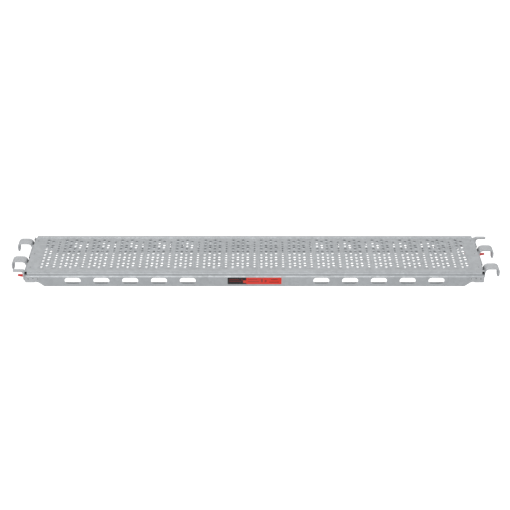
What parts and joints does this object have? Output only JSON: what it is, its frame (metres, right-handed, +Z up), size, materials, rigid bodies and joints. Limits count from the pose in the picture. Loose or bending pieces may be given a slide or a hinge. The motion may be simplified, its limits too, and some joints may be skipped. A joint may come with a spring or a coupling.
{
  "type": "scaffold plank",
  "caption": "Perforated galvanised steel scaffold plank with hooked ends and a gravity lift-off latch at each end.",
  "frame": {"origin": "under the plank's middle, at the bottom of its side webs", "axes": "+X along the plank, +Y towards its back edge, +Z up to the walking surface"},
  "size_m": [2.133, 0.304, 0.08],
  "materials": {
    "galvanised_sheet": "hot-dip galvanised, satin, light spangle",
    "galvanised_cap": "hot-dip galvanised, satin",
    "galvanised_hook": "hot-dip galvanised, slightly rough",
    "zinc_pin": "zinc plated",
    "red_latch": "red powder coat on steel",
    "rivet": "dull steel",
    "label": "printed film, black and red"
  },
  "bodies": {
    "plank": {"deck_sheet": "galvanised_sheet", "end_cap_right": "galvanised_cap", "support_finger_right": "galvanised_hook", "latch_bracket_right": "galvanised_cap", "latch_pin_right": "zinc_pin", "latch_clip_right": "zinc_pin", "deck_rivets_right": "rivet", "claw_right_outer": "galvanised_hook", "claw_right_inner": "galvanised_hook", "side_rivets_right_front": "rivet", "side_rivets_right_back": "rivet", "end_cap_left": "galvanised_cap", "support_finger_left": "galvanised_hook", "latch_bracket_left": "galvanised_cap", "latch_pin_left": "zinc_pin", "latch_clip_left": "zinc_pin", "deck_rivets_left": "rivet", "claw_left_outer": "galvanised_hook", "claw_left_inner": "galvanised_hook", "side_rivets_left_front": "rivet", "side_rivets_left_back": "rivet", "label_sticker": "label"},
    "latch_right": {"latch_right": "red_latch"},
    "latch_left": {"latch_left": "red_latch"}
  },
  "joints": [
    {"name": "latch_right_swing", "type": "hinge", "parent": "plank", "child": "latch_right", "pos_m": [0.982, 0.089, 0.059], "axis": [0, 1, 0], "range_deg": [0, 35]},
    {"name": "latch_left_swing", "type": "hinge", "parent": "plank", "child": "latch_left", "pos_m": [-0.982, -0.089, 0.059], "axis": [0, -1, 0], "range_deg": [0, 35]}
  ]
}
